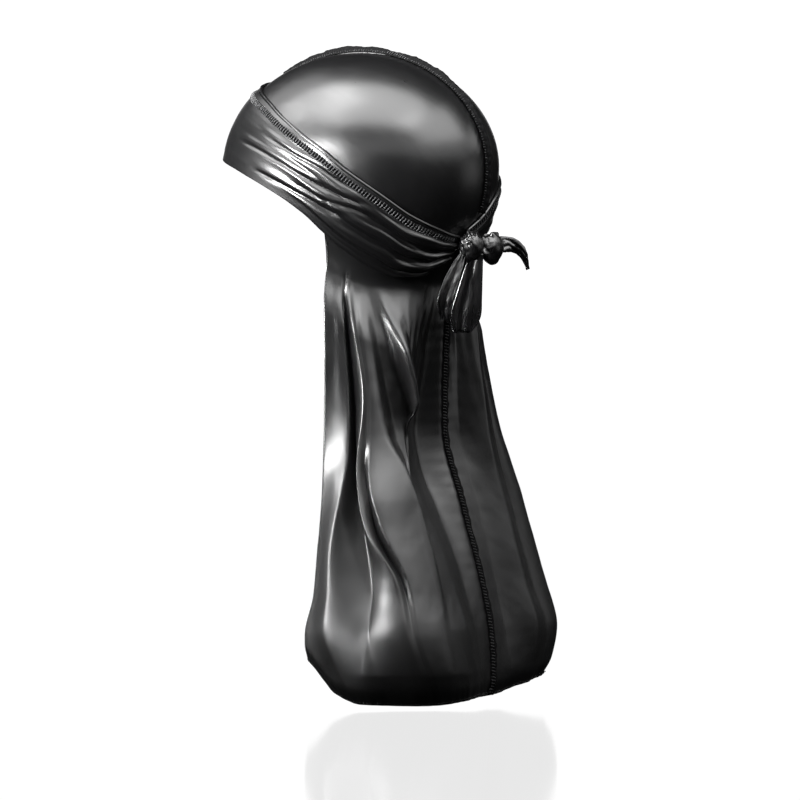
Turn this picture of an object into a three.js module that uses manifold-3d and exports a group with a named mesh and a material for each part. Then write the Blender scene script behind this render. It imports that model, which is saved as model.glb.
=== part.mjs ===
// A satin head wrap as it is worn: a two-panel crown, a gathered brow band whose
// straps are tied in a small bow at the nape, and a long two-panel tail.
// Millimetres, +Z up. The face looks along -Y and the wearer's left is +X.
// The origin is the top of the head, on the inner face of the crown.
import * as THREE from "three";
import { mergeVertices } from "three/addons/utils/BufferGeometryUtils.js";
import Module from "manifold-3d";

const wasm = await Module();
wasm.setup();

// The head that the cloth is stretched over, measured from its widest level.
const HEAD = {
  frontLength: 95,
  backLength: 98,
  halfWidth: 78,
  rise: 77,
  drop: 92,
  neckHalfLength: 64,
  neckHalfWidth: 60,
};
const CLOTH = { panel: 1.0, band: 1.2, strap: 1.2, gap: 0.4 };
const LAYER = { panel: 0.5, band: 2.1 };
const SEAM = {
  halfGap: 0.5,
  width: 2.0,
  height: 4.2,
  lift: 1.35,
  browWidth: 3.0,
  browThick: 1.4,
  browLift: 1.75,
  browGap: 0.9,
  tailLift: 0.4,
  tailHeight: 3,
};
const CROWN_EDGE_SHARE = 0.55;
const TAIL_FRONT_ANGLE = 100;
// Both straps end in the knot. The right one crosses the nape to reach it.
const BAND_ENDS = { right: -186, left: 170 };
const CROWN_JOIN = { start: 165, length: 15 };

// Heights of the band's two edges round each side of the head.
// angle: degrees from the brow (0) to the nape (180).
const LEFT_BAND = [
  { angle: 0, top: 55, bottom: 8 },
  { angle: 26, top: 52.6, bottom: 5 },
  { angle: 48, top: 48, bottom: 0.5 },
  { angle: 64, top: 42, bottom: -6.5 },
  { angle: 80, top: 31, bottom: -17.5 },
  { angle: 92, top: 20, bottom: -30 },
  { angle: 100, top: 12, bottom: -42 },
  { angle: 109, top: 0, bottom: -53.5 },
  { angle: 124, top: -17, bottom: -66 },
  { angle: 140, top: -33, bottom: -72.5 },
  { angle: 156, top: -42, bottom: -72 },
  { angle: 165, top: -45.5, bottom: -66 },
  { angle: 174, top: -47, bottom: -61 },
  { angle: 180, top: -47, bottom: -59 },
  { angle: 188, top: -47, bottom: -59 },
];
const RIGHT_BAND = [
  { angle: 0, top: 55, bottom: 8 },
  { angle: 26, top: 52.6, bottom: 5 },
  { angle: 48, top: 48, bottom: 0.5 },
  { angle: 64, top: 42, bottom: -6.5 },
  { angle: 80, top: 32, bottom: -17.5 },
  { angle: 92, top: 22, bottom: -29 },
  { angle: 100, top: 15, bottom: -39 },
  { angle: 109, top: 7, bottom: -48 },
  { angle: 124, top: 0, bottom: -56 },
  { angle: 140, top: -6, bottom: -61 },
  { angle: 156, top: -14, bottom: -62 },
  { angle: 165, top: -21, bottom: -62 },
  { angle: 174, top: -31, bottom: -61 },
  { angle: 180, top: -37, bottom: -60 },
  { angle: 188, top: -45, bottom: -59 },
];
// Pleats that run along the band. across: 0 at its top edge, 1 at its bottom.
const PLEATS = [
  { across: 0.0, brow: 0, temple: 0, ear: 0, nape: 0 },
  { across: 0.12, brow: 0.2, temple: 0.2, ear: 0.1, nape: 0.1 },
  { across: 0.2, brow: 0.2, temple: 0.2, ear: 0.3, nape: 1.0 },
  { across: 0.28, brow: 0.2, temple: 0.3, ear: 1.3, nape: 2.6 },
  { across: 0.4, brow: 0.3, temple: 0.4, ear: 0.3, nape: 0.1 },
  { across: 0.54, brow: 0.4, temple: 0.5, ear: 1.6, nape: 2.8 },
  { across: 0.66, brow: 0.5, temple: 0.5, ear: 0.5, nape: 0 },
  { across: 0.77, brow: 0.6, temple: 0.6, ear: 1.2, nape: 2.4 },
  { across: 0.88, brow: 0.7, temple: 0.8, ear: 0.7, nape: 0 },
  { across: 1.0, brow: 0.9, temple: 0.8, ear: 0.8, nape: 0.8 },
];
const PLEAT_ANGLES = { brow: 25, temple: 70, ear: 104, nape: 150 };

// One half of the tail, cut level at each height: where the centre seam, the
// rear lobe, the side and the front edge of the cloth are.
const TAIL_SECTIONS = [
  { height: -60, seamY: 76, lobeX: 36, lobeY: 65, sideX: 60, sideY: 36, edgeX: 68, edgeY: 13 },
  { height: -85, seamY: 70, lobeX: 36, lobeY: 69, sideX: 62, sideY: 41, edgeX: 73, edgeY: 16 },
  { height: -120, seamY: 66, lobeX: 38, lobeY: 72, sideX: 65, sideY: 43, edgeX: 77, edgeY: 19 },
  { height: -175, seamY: 65, lobeX: 44, lobeY: 80, sideX: 72, sideY: 48, edgeX: 82, edgeY: 22 },
  { height: -230, seamY: 80, lobeX: 54, lobeY: 90, sideX: 90, sideY: 59, edgeX: 89, edgeY: 24 },
  { height: -285, seamY: 96, lobeX: 63, lobeY: 102, sideX: 102, sideY: 68, edgeX: 98, edgeY: 24 },
  { height: -315, seamY: 102, lobeX: 69, lobeY: 108, sideX: 108, sideY: 70, edgeX: 103, edgeY: 20 },
  { height: -345, seamY: 104, lobeX: 66, lobeY: 104, sideX: 104, sideY: 66, edgeX: 101, edgeY: 20 },
  { height: -370, seamY: 104, lobeX: 58, lobeY: 98, sideX: 94, sideY: 62, edgeX: 95, edgeY: 24 },
];
// Folds of the tail. at: share of the way from the front edge to the seam;
// out: how far the fold stands out. Each list follows FOLD_HEIGHTS.
const FOLD_HEIGHTS = [-70, -110, -175, -215, -245, -275, -305, -340];
const FLAT_FOLD = [0, 0, 0, 0, 0, 0, 0, 0];
const LEFT_FOLDS = [
  { name: "edge", at: [0, 0, 0, 0, 0, 0, 0, 0], out: FLAT_FOLD },
  {
    name: "front_ridge",
    at: [0.12, 0.14, 0.16, 0.137, 0.11, 0.085, 0.14, 0.24],
    out: [3, 4, 6, 7, 8, 8, 6, 5],
  },
  {
    name: "pocket",
    at: [0.15, 0.163, 0.196, 0.175, 0.18, 0.27, 0.35, 0.38],
    out: [-3, -5, -6, -9, -12, -13, -4, 8],
  },
  {
    name: "side_ridge",
    at: [0.19, 0.2, 0.255, 0.215, 0.265, 0.39, 0.455, 0.5],
    out: [4, 5, 7, 8, 8, 7, 6, 11],
  },
  {
    name: "slit",
    at: [0.22, 0.24, 0.275, 0.255, 0.315, 0.415, 0.48, 0.54],
    out: [2, 3, 4, 0, -2, 1, 3, 11],
  },
  {
    name: "thin_ridge",
    at: [0.245, 0.27, 0.3, 0.295, 0.36, 0.445, 0.51, 0.57],
    out: [2, 3, 4, 5, 5, 4, 4, 12],
  },
  {
    name: "wide_valley",
    at: [0.29, 0.34, 0.43, 0.45, 0.5, 0.55, 0.6, 0.65],
    out: [-4, -7, -9, -5, -1, 0, 3, 12],
  },
  {
    name: "rear_ridge",
    at: [0.39, 0.5, 0.62, 0.64, 0.65, 0.67, 0.7, 0.75],
    out: [6, 4, -2, -2, 0, 1, 3, 11],
  },
  {
    name: "seam_valley",
    at: [0.62, 0.75, 0.85, 0.88, 0.89, 0.9, 0.9, 0.9],
    out: [-3, -2, -2, -3, -3, -3, -2, 3],
  },
  { name: "seam", at: [1, 1, 1, 1, 1, 1, 1, 1], out: FLAT_FOLD },
];
const RIGHT_FOLDS = [
  { name: "edge", at: [0, 0, 0, 0, 0, 0, 0, 0], out: FLAT_FOLD },
  {
    name: "front_ridge",
    at: [0.09, 0.1, 0.1, 0.1, 0.1, 0.1, 0.1, 0.1],
    out: [3, 4, 5, 5, 5, 5, 4, 2],
  },
  {
    name: "front_valley",
    at: [0.18, 0.19, 0.19, 0.19, 0.2, 0.2, 0.2, 0.2],
    out: [-4, -5, -5, -5, -6, -6, -4, -2],
  },
  {
    name: "side_ridge",
    at: [0.28, 0.29, 0.29, 0.3, 0.3, 0.31, 0.31, 0.31],
    out: [4, 5, 5, 6, 6, 6, 5, 3],
  },
  {
    name: "side_valley",
    at: [0.38, 0.38, 0.39, 0.39, 0.4, 0.4, 0.41, 0.41],
    out: [-3, -4, -4, -5, -5, -5, -3, -1],
  },
  {
    name: "rear_ridge",
    at: [0.48, 0.48, 0.49, 0.49, 0.5, 0.5, 0.5, 0.5],
    out: [2, 2, 2, 3, 3, 3, 3, 1],
  },
  {
    name: "rear_valley",
    at: [0.6, 0.6, 0.6, 0.61, 0.61, 0.62, 0.62, 0.63],
    out: [-2, -2, -2, -2, -2, -2, -1, 0],
  },
  {
    name: "low_ridge",
    at: [0.7, 0.7, 0.7, 0.71, 0.71, 0.72, 0.72, 0.72],
    out: [2, 3, 3, 3, 3, 3, 4, 3],
  },
  {
    name: "low_pocket",
    at: [0.87, 0.87, 0.87, 0.87, 0.87, 0.87, 0.87, 0.84],
    out: [-1, -2, -2, -2, -2, -3, -4, -1],
  },
  { name: "seam", at: [1, 1, 1, 1, 1, 1, 1, 1], out: FLAT_FOLD },
];
// Height of the hem from the front edge (share 0) to the seam (share 1).
const HEM = [
  { share: 0, left: -331, right: -320 },
  { share: 0.06, left: -341, right: -330 },
  { share: 0.14, left: -354, right: -339 },
  { share: 0.26, left: -360, right: -344 },
  { share: 0.5, left: -361, right: -347 },
  { share: 0.75, left: -359, right: -352 },
  { share: 0.9, left: -358, right: -357 },
  { share: 1, left: -358, right: -358 },
];
const HEM_TUCK = { depth: 8, length: 20 };
const FLARE = { start: 3, length: 50, hiddenShare: 1 / 9, crowding: 1.35, tuckGap: 1 };

// The tied bow at the nape.
const KNOT = { centre: [8, 93.5, -53], radii: [9.5, 8.5, 10.5], pleats: 5, pleatDepth: 0.1 };
const SIDE_LOOP = { centre: [-7, 101.5, -54], radii: [9, 7.5, 10], pleats: 3, pleatDepth: 0.12 };
// Stations of the strap ends and of the hanging loop: a centre, the direction
// and half of the width, and how far the two sides curl.
const HANGING_END = [
  { centre: [15, 91, -58], side: [0.75, -0.6, 0.2], half: 3.2, curl: 0.8 },
  { centre: [19, 89.5, -66], side: [0.8, -0.55, 0.15], half: 4.2, curl: 1.2 },
  { centre: [25.5, 87.5, -78], side: [0.75, -0.6, 0.2], half: 5.6, curl: 1.8 },
  { centre: [30, 85.5, -90], side: [0.7, -0.65, 0.2], half: 6, curl: 2 },
  { centre: [31, 84, -99], side: [0.7, -0.6, 0.35], half: 5, curl: 1.6 },
  { centre: [29.5, 83, -104.5], side: [0.7, -0.55, 0.45], half: 3.8, curl: 1 },
];
const HANGING_LOOP = [
  { centre: [9, 98, -58], side: [0.5, -0.85, 0], half: 5.5, curl: -0.6 },
  { centre: [10, 96, -70], side: [0.45, -0.9, 0], half: 7.5, curl: -1 },
  { centre: [11, 93.5, -86], side: [0.42, -0.9, 0.05], half: 9.5, curl: -1.5 },
  { centre: [11.5, 91.5, -99], side: [0.45, -0.9, 0.1], half: 10.5, curl: -1 },
  { centre: [11, 89, -109], side: [0.55, -0.85, 0.1], half: 8, curl: 0.5 },
  { centre: [9.5, 86, -110], side: [0.7, -0.7, 0.05], half: 6.5, curl: 1 },
  { centre: [9, 83.5, -98], side: [0.8, -0.6, 0], half: 7, curl: 0.5 },
  { centre: [9, 83, -83], side: [0.85, -0.5, 0], half: 6.5, curl: 0.5 },
  { centre: [8.5, 85.5, -70], side: [0.85, -0.5, 0], half: 5, curl: 0.5 },
  { centre: [8, 89, -60], side: [0.8, -0.5, 0], half: 3.5, curl: 0.5 },
];
const SIDE_END = [
  { centre: [-12, 103, -52], side: [0.1, -0.3, 0.95], half: 4.5, curl: 1 },
  { centre: [-17, 106, -50.5], side: [0.1, -0.4, 0.9], half: 4.5, curl: 1.2 },
  { centre: [-21.5, 110.5, -52.5], side: [0.2, 0.2, 0.95], half: 4.5, curl: 1.2 },
  { centre: [-24.5, 115, -59], side: [0.2, 0.75, 0.6], half: 3.8, curl: 0.8 },
  { centre: [-26, 117.5, -68], side: [0.2, 0.9, 0.3], half: 1.6, curl: 0.3 },
];

const mix = (a, b, t) => a + (b - a) * t;
const clamp = (x, low, high) => Math.min(high, Math.max(low, x));
const smooth = (x) => {
  const t = clamp(x, 0, 1);
  return t * t * (3 - 2 * t);
};
const radians = THREE.MathUtils.degToRad;
const vector = (list) => new THREE.Vector3(...list);

// A smooth curve through (xs, ys) that never overshoots its points.
function through(xs, ys) {
  const last = xs.length - 1;
  const rise = xs.slice(1).map((x, i) => (ys[i + 1] - ys[i]) / (x - xs[i]));
  const slopes = xs.map((_, i) => {
    if (i === 0) return rise[0];
    if (i === last) return rise[last - 1];
    if (rise[i - 1] * rise[i] <= 0) return 0;
    return (2 * rise[i - 1] * rise[i]) / (rise[i - 1] + rise[i]);
  });
  return (x) => {
    const at = clamp(x, Math.min(xs[0], xs[last]), Math.max(xs[0], xs[last]));
    let i = 0;
    while (i < last - 1 && (at - xs[i + 1]) * (xs[last] - xs[0]) > 0) i += 1;
    const step = xs[i + 1] - xs[i];
    const t = (at - xs[i]) / step;
    const t2 = t * t;
    const t3 = t2 * t;
    return (
      (2 * t3 - 3 * t2 + 1) * ys[i] +
      (t3 - 2 * t2 + t) * step * slopes[i] +
      (3 * t2 - 2 * t3) * ys[i + 1] +
      (t3 - t2) * step * slopes[i + 1]
    );
  };
}

const column = (rows, key) => rows.map((row) => row[key]);
const curveOf = (rows, key, value) => through(column(rows, key), column(rows, value));

// The head's two half lengths and its half width at a height.
function ring(height) {
  const share = height / (height >= 0 ? HEAD.rise : HEAD.drop);
  const round = Math.sqrt(Math.max(0, 1 - share * share));
  const neck = height >= 0 ? round : 1;
  const join = (head, throat) => (head ** 8 + throat ** 8) ** (1 / 8);
  return {
    front: join(HEAD.frontLength * round, HEAD.neckHalfLength * neck),
    back: join(HEAD.backLength * round, HEAD.neckHalfLength * neck),
    width: join(HEAD.halfWidth * round, HEAD.neckHalfWidth * neck),
  };
}

// Below 0 inside the head, above 0 outside it.
function headField(x, y, z) {
  const level = ring(Math.min(z, 0));
  const length = y < 0 ? level.front : level.back;
  return Math.hypot(x / level.width, y / length, Math.max(z, 0) / HEAD.rise) - 1;
}

function headNormal(point) {
  const step = 0.05;
  const slope = (dx, dy, dz) =>
    headField(point.x + dx, point.y + dy, point.z + dz) -
    headField(point.x - dx, point.y - dy, point.z - dz);
  return new THREE.Vector3(slope(step, 0, 0), slope(0, step, 0), slope(0, 0, step)).normalize();
}

// The point of the head at an angle round it (degrees, + on the wearer's left)
// and a height, moved out of its surface.
function onHead(angle, height, out) {
  const level = ring(height);
  const turn = radians(angle);
  const length = Math.cos(turn) > 0 ? level.front : level.back;
  const point = new THREE.Vector3(Math.sin(turn) * level.width, -Math.cos(turn) * length, height);
  return point.addScaledVector(headNormal(point), out);
}

// The point of the head that a ray from its middle meets.
function alongRay(direction, out) {
  let near = 20;
  let far = 200;
  for (let i = 0; i < 40; i += 1) {
    const middle = (near + far) / 2;
    const inside = headField(direction.x * middle, direction.y * middle, direction.z * middle) < 0;
    if (inside) near = middle;
    else far = middle;
  }
  const point = direction.clone().multiplyScalar(near);
  return point.addScaledVector(headNormal(point), out);
}

function geometryOf(points, faces) {
  const geometry = new THREE.BufferGeometry();
  geometry.setAttribute("position", new THREE.Float32BufferAttribute(points.flat(), 3));
  geometry.setIndex(faces.flat());
  return geometry;
}

// A closed wall of cloth on a surface: at(u, v) gives the middle of the wall.
function wall(at, stepsU, stepsV, thickness) {
  const middle = (i, j) => at(i / stepsU, j / stepsV);
  const normalAt = (i, j) => {
    const du = middle(Math.min(i + 0.5, stepsU), j).sub(middle(Math.max(i - 0.5, 0), j));
    const dv = middle(i, Math.min(j + 0.5, stepsV)).sub(middle(i, Math.max(j - 0.5, 0)));
    return du.cross(dv).normalize();
  };
  const points = [];
  for (const side of [0.5, -0.5])
    for (let i = 0; i <= stepsU; i += 1)
      for (let j = 0; j <= stepsV; j += 1) {
        points.push(middle(i, j).addScaledVector(normalAt(i, j), side * thickness).toArray());
      }
  const across = stepsV + 1;
  const layer = (stepsU + 1) * across;
  const faces = [];
  const quad = (a, b, c, d) => faces.push([a, b, c], [a, c, d]);
  for (let i = 0; i < stepsU; i += 1)
    for (let j = 0; j < stepsV; j += 1) {
      const a = i * across + j;
      const b = a + across;
      quad(a, b, b + 1, a + 1);
      quad(layer + a, layer + a + 1, layer + b + 1, layer + b);
    }
  for (let i = 0; i < stepsU; i += 1) {
    const first = i * across;
    const last = first + stepsV;
    quad(first, layer + first, layer + first + across, first + across);
    quad(last, last + across, layer + last + across, layer + last);
  }
  for (let j = 0; j < stepsV; j += 1) {
    const end = stepsU * across + j;
    quad(j, j + 1, layer + j + 1, layer + j);
    quad(end, layer + end, layer + end + 1, end + 1);
  }
  return facingOut(points, faces);
}

// The same shape with its faces turned, if they point inwards.
function facingOut(points, faces) {
  let volume = 0;
  for (const [a, b, c] of faces) {
    volume += vector(points[a]).dot(vector(points[b]).cross(vector(points[c])));
  }
  return geometryOf(points, volume < 0 ? faces.map(([a, b, c]) => [a, c, b]) : faces);
}

function solidOf(geometry) {
  const bare = geometry.clone();
  bare.deleteAttribute("normal");
  bare.deleteAttribute("uv");
  const merged = mergeVertices(bare, 1e-4);
  return new wasm.Manifold(
    new wasm.Mesh({
      numProp: 3,
      vertProperties: merged.attributes.position.array,
      triVerts: new Uint32Array(merged.index.array),
    }),
  );
}

function geometryFrom(solid) {
  const mesh = solid.getMesh();
  const geometry = new THREE.BufferGeometry();
  geometry.setAttribute("position", new THREE.Float32BufferAttribute(mesh.vertProperties, 3));
  geometry.setIndex([...mesh.triVerts]);
  return geometry;
}

// The largest piece of a geometry once the others are cut from it.
function cutBy(geometry, cutters) {
  const left = cutters.reduce((solid, cutter) => solid.subtract(solidOf(cutter)), solidOf(geometry));
  const pieces = left.decompose().sort((a, b) => b.volume() - a.volume());
  return geometryFrom(pieces[0]);
}

// The crown: two panels that meet in a seam from the brow to the nape.
const bandEdge = {
  left: { top: curveOf(LEFT_BAND, "angle", "top"), bottom: curveOf(LEFT_BAND, "angle", "bottom") },
  right: { top: curveOf(RIGHT_BAND, "angle", "top"), bottom: curveOf(RIGHT_BAND, "angle", "bottom") },
};
// The crown's lower edge, under the band. Both sides meet at one point of the nape.
function crownEdge(side, angle) {
  const under = (key) => mix(bandEdge[key].top(angle), bandEdge[key].bottom(angle), CROWN_EDGE_SHARE);
  return mix(under(side), under("left"), smooth((angle - CROWN_JOIN.start) / CROWN_JOIN.length));
}

const browPoint = onHead(0, crownEdge("left", 0), 0);
const napePoint = onHead(180, crownEdge("left", 180), 0);
const SEAM_START = Math.atan2(browPoint.z, -browPoint.y);
const SEAM_END = Math.PI - Math.atan2(napePoint.z, napePoint.y);

function seamDirection(share) {
  const turn = mix(SEAM_START, SEAM_END, share);
  return new THREE.Vector3(0, -Math.cos(turn), Math.sin(turn));
}

function crownPoint(side, along, across) {
  const sign = side === "left" ? 1 : -1;
  const share = mix(0.015, 0.985, along);
  const upper = seamDirection(share);
  const angle = 180 * share;
  const lower = onHead(sign * angle, crownEdge(side, angle), 0).normalize();
  const spread = upper.angleTo(lower);
  const point = upper
    .multiplyScalar(Math.sin((1 - across) * spread) / Math.sin(spread))
    .addScaledVector(lower, Math.sin(across * spread) / Math.sin(spread));
  const onCrown = alongRay(point.normalize(), LAYER.panel);
  onCrown.x += sign * SEAM.halfGap * (1 - across);
  return onCrown;
}

const crownPanel = (side) => wall((u, v) => crownPoint(side, u, v), 18, 9, CLOTH.panel);

// The raised, overlocked seam of the crown, from the brow band to the knot.
function crownSeam() {
  const start = 0.135;
  const end = 0.918;
  return wall(
    (u, v) => {
      const direction = seamDirection(mix(start, end, u));
      return alongRay(direction, LAYER.panel + SEAM.lift - 0.4 + v * SEAM.height);
    },
    30,
    2,
    SEAM.width,
  );
}

// The brow band and its two straps are one strip, from knot to knot.
const pleatAngles = [0, ...Object.values(PLEAT_ANGLES), 180];

function pleat(angle, across) {
  const heights = PLEATS.map((row) =>
    through(pleatAngles, [row.brow, row.brow, row.temple, row.ear, row.nape, row.nape])(angle),
  );
  return through(column(PLEATS, "across"), heights)(across);
}

function bandPoint(turn, across) {
  const side = turn >= 0 ? "left" : "right";
  const angle = Math.abs(turn);
  const height = mix(bandEdge[side].top(angle), bandEdge[side].bottom(angle), across);
  return onHead(turn, height, LAYER.band + pleat(angle, across));
}

const browBand = () =>
  wall((u, v) => bandPoint(mix(BAND_ENDS.right, BAND_ENDS.left, u), v), 46, 12, CLOTH.band);

// The raised seam that joins the band's top edge to the crown.
function browSeam() {
  return wall(
    (u, v) => {
      const turn = mix(BAND_ENDS.right, BAND_ENDS.left, u);
      const side = turn >= 0 ? "left" : "right";
      const top = bandEdge[side].top(Math.abs(turn));
      const height = top + SEAM.browGap + v * SEAM.browWidth;
      return onHead(turn, height, LAYER.panel + SEAM.browLift);
    },
    64,
    1,
    SEAM.browThick,
  );
}

// The tail.
const tailColumn = {};
for (const key of ["seamY", "lobeX", "lobeY", "sideX", "sideY", "edgeX", "edgeY"]) {
  tailColumn[key] = curveOf(TAIL_SECTIONS, "height", key);
}

// The middle of the cloth, before its folds, and the way that it faces.
function tailSection(height) {
  const at = (key) => tailColumn[key](height);
  const xs = [at("edgeX"), at("sideX"), at("lobeX"), 0];
  const ys = [at("edgeY"), at("sideY"), at("lobeY"), at("seamY")];
  const along = [0];
  for (let i = 1; i < xs.length; i += 1) {
    along.push(along[i - 1] + Math.hypot(xs[i] - xs[i - 1], ys[i] - ys[i - 1]));
  }
  const shares = along.map((length) => length / along[along.length - 1]);
  return { x: through(shares, xs), y: through(shares, ys) };
}

// Where each fold lies at a height, and how far it stands out. The columns of
// the cloth follow the folds: column 2 is on fold 2, and 2.5 half way to fold 3.
const FOLDS = { left: LEFT_FOLDS, right: RIGHT_FOLDS };
const foldTracks = {};
for (const side of ["left", "right"]) {
  foldTracks[side] = FOLDS[side].map((fold) => ({
    at: through(FOLD_HEIGHTS, fold.at),
    out: through(FOLD_HEIGHTS, fold.out),
  }));
}

function foldAt(side, column, height) {
  const tracks = foldTracks[side];
  const first = Math.min(Math.floor(column), tracks.length - 2);
  const past = column - first;
  return {
    share: mix(tracks[first].at(height), tracks[first + 1].at(height), past),
    out: mix(tracks[first].out(height), tracks[first + 1].out(height), smooth(past)),
  };
}

const hemHeight = { left: curveOf(HEM, "share", "left"), right: curveOf(HEM, "share", "right") };

function tailPoint(side, across, down) {
  const sign = side === "left" ? 1 : -1;
  const column = across * (FOLDS[side].length - 1);
  const level = mix(FOLD_HEIGHTS[0], FOLD_HEIGHTS[FOLD_HEIGHTS.length - 1], down);
  const share = foldAt(side, column, level).share;
  const angle = mix(TAIL_FRONT_ANGLE, 180, share);
  const start = crownEdge(side, angle) - FLARE.tuckGap;
  const bottom = bandEdge[side].bottom(angle) - FLARE.start;
  const hidden = down < FLARE.hiddenShare;
  const height = hidden
    ? mix(start, bottom, down / FLARE.hiddenShare)
    : mix(bottom, hemHeight[side](share), ((down - FLARE.hiddenShare) / (1 - FLARE.hiddenShare)) ** FLARE.crowding);
  const below = bandEdge[side].bottom(angle) - height;
  const loose = smooth((below - FLARE.start) / FLARE.length);
  const tight = onHead(angle, height, LAYER.panel);
  const section = tailSection(height);
  const step = 0.01;
  const low = clamp(share - step, 0, 1);
  const high = clamp(share + step, 0, 1);
  const facing = new THREE.Vector2(
    section.y(high) - section.y(low),
    section.x(low) - section.x(high),
  ).normalize();
  const tuck = HEM_TUCK.depth * smooth(1 + (hemHeight[side](share) - height) / HEM_TUCK.length) ** 2;
  const out = foldAt(side, column, height).out * smooth((below - FLARE.start) / 42) - tuck;
  const free = new THREE.Vector3(
    section.x(share) + facing.x * out,
    section.y(share) + facing.y * out,
    height,
  );
  const point = tight.lerp(free, loose);
  point.x = Math.max(point.x, 0) + SEAM.halfGap;
  point.x *= sign;
  return point;
}

const tailPanel = (side) => wall((u, v) => tailPoint(side, u, v), 27, 18, CLOTH.panel);

function tailSeam() {
  const start = 0.118;
  return wall(
    (u, v) => {
      const down = mix(start, 0.995, u);
      const root = tailPoint("left", 1, down);
      return new THREE.Vector3(0, root.y + SEAM.lift + SEAM.tailLift + v * SEAM.tailHeight, root.z);
    },
    28,
    1,
    SEAM.width,
  );
}

// A ball of gathered cloth.
function bunch({ centre, radii, pleats, pleatDepth }, grown = 0) {
  const geometry = new THREE.SphereGeometry(1, 20, 14);
  const place = geometry.attributes.position;
  for (let i = 0; i < place.count; i += 1) {
    const point = new THREE.Vector3().fromBufferAttribute(place, i);
    const turn = Math.atan2(point.z, point.x) + point.y * 1.5;
    const fold = 1 + pleatDepth * Math.cos(pleats * turn) * (1 - point.y ** 2);
    place.setXYZ(
      i,
      centre[0] + point.x * (radii[0] * fold + grown),
      centre[1] + point.y * (radii[1] + grown),
      centre[2] + point.z * (radii[2] * fold + grown),
    );
  }
  return geometry;
}

// A strap that follows its stations.
function strap(stations, steps) {
  const keys = stations.map((_, i) => i / (stations.length - 1));
  const track = (read) => through(keys, stations.map(read));
  const centre = [0, 1, 2].map((axis) => track((s) => s.centre[axis]));
  const side = [0, 1, 2].map((axis) => track((s) => s.side[axis]));
  const half = track((s) => s.half);
  const curl = track((s) => s.curl);
  const place = (u) => new THREE.Vector3(centre[0](u), centre[1](u), centre[2](u));
  return wall(
    (u, v) => {
      const across = vector(side.map((part) => part(u))).normalize();
      const ahead = place(Math.min(u + 0.01, 1)).sub(place(Math.max(u - 0.01, 0)));
      const face = ahead.cross(across).normalize();
      const offset = 2 * v - 1;
      return place(u)
        .addScaledVector(across, offset * half(u))
        .addScaledVector(face, -curl(u) * offset * offset);
    },
    steps,
    4,
    CLOTH.strap,
  );
}

const satin = { color: 0x0b0b0c, roughness: 0.35, metalness: 0 };
const thread = { color: 0x161617, roughness: 0.7, metalness: 0 };

function mesh(name, geometry, finish) {
  const made = new THREE.Mesh(geometry, new THREE.MeshStandardMaterial(finish));
  made.name = name;
  return made;
}

const knot = bunch(KNOT);
const knotRoom = bunch(KNOT, CLOTH.gap);
const sideLoop = cutBy(bunch(SIDE_LOOP), [knotRoom]);
const sideLoopRoom = bunch(SIDE_LOOP, CLOTH.gap);
const hangingLoop = cutBy(strap(HANGING_LOOP, 26), [knotRoom, sideLoopRoom]);

const wrap = new THREE.Group();
wrap.position.z = -HEAD.rise;
wrap.add(
  mesh("crown_left", crownPanel("left"), satin),
  mesh("crown_right", crownPanel("right"), satin),
  mesh("crown_seam", crownSeam(), thread),
  mesh("brow_band", cutBy(browBand(), [knotRoom, sideLoopRoom]), satin),
  mesh("brow_seam", cutBy(browSeam(), [knotRoom, sideLoopRoom]), thread),
  mesh("knot", knot, satin),
  mesh("bow_loop_side", sideLoop, satin),
  mesh("bow_loop_hanging", hangingLoop, satin),
  mesh("strap_end_side", cutBy(strap(SIDE_END, 12), [knotRoom, sideLoopRoom]), satin),
  mesh("strap_end_hanging", cutBy(strap(HANGING_END, 12), [knotRoom, sideLoopRoom]), satin),
  mesh("tail_left", tailPanel("left"), satin),
  mesh("tail_right", tailPanel("right"), satin),
  mesh("tail_seam", tailSeam(), thread),
);

export default wrap;
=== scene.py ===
import math

import bpy
import numpy as np
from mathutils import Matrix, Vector


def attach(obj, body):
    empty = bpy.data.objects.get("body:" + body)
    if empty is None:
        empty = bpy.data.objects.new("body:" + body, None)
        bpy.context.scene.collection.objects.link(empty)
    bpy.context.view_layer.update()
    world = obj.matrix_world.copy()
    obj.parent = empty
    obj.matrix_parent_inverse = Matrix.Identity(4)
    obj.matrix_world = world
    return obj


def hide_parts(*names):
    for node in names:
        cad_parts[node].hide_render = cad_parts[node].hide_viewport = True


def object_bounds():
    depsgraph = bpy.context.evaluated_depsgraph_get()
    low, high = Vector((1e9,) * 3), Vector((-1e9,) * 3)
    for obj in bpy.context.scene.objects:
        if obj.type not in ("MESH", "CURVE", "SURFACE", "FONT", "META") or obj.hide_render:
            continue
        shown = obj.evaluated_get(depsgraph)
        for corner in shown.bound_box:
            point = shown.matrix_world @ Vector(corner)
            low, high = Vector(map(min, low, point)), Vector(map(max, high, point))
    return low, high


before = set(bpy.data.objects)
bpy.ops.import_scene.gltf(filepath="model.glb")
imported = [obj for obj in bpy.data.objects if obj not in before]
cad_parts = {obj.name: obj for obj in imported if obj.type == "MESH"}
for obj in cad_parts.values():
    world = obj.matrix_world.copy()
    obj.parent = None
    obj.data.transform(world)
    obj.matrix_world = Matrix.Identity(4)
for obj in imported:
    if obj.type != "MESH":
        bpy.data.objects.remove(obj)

CAD_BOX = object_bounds()

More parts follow.
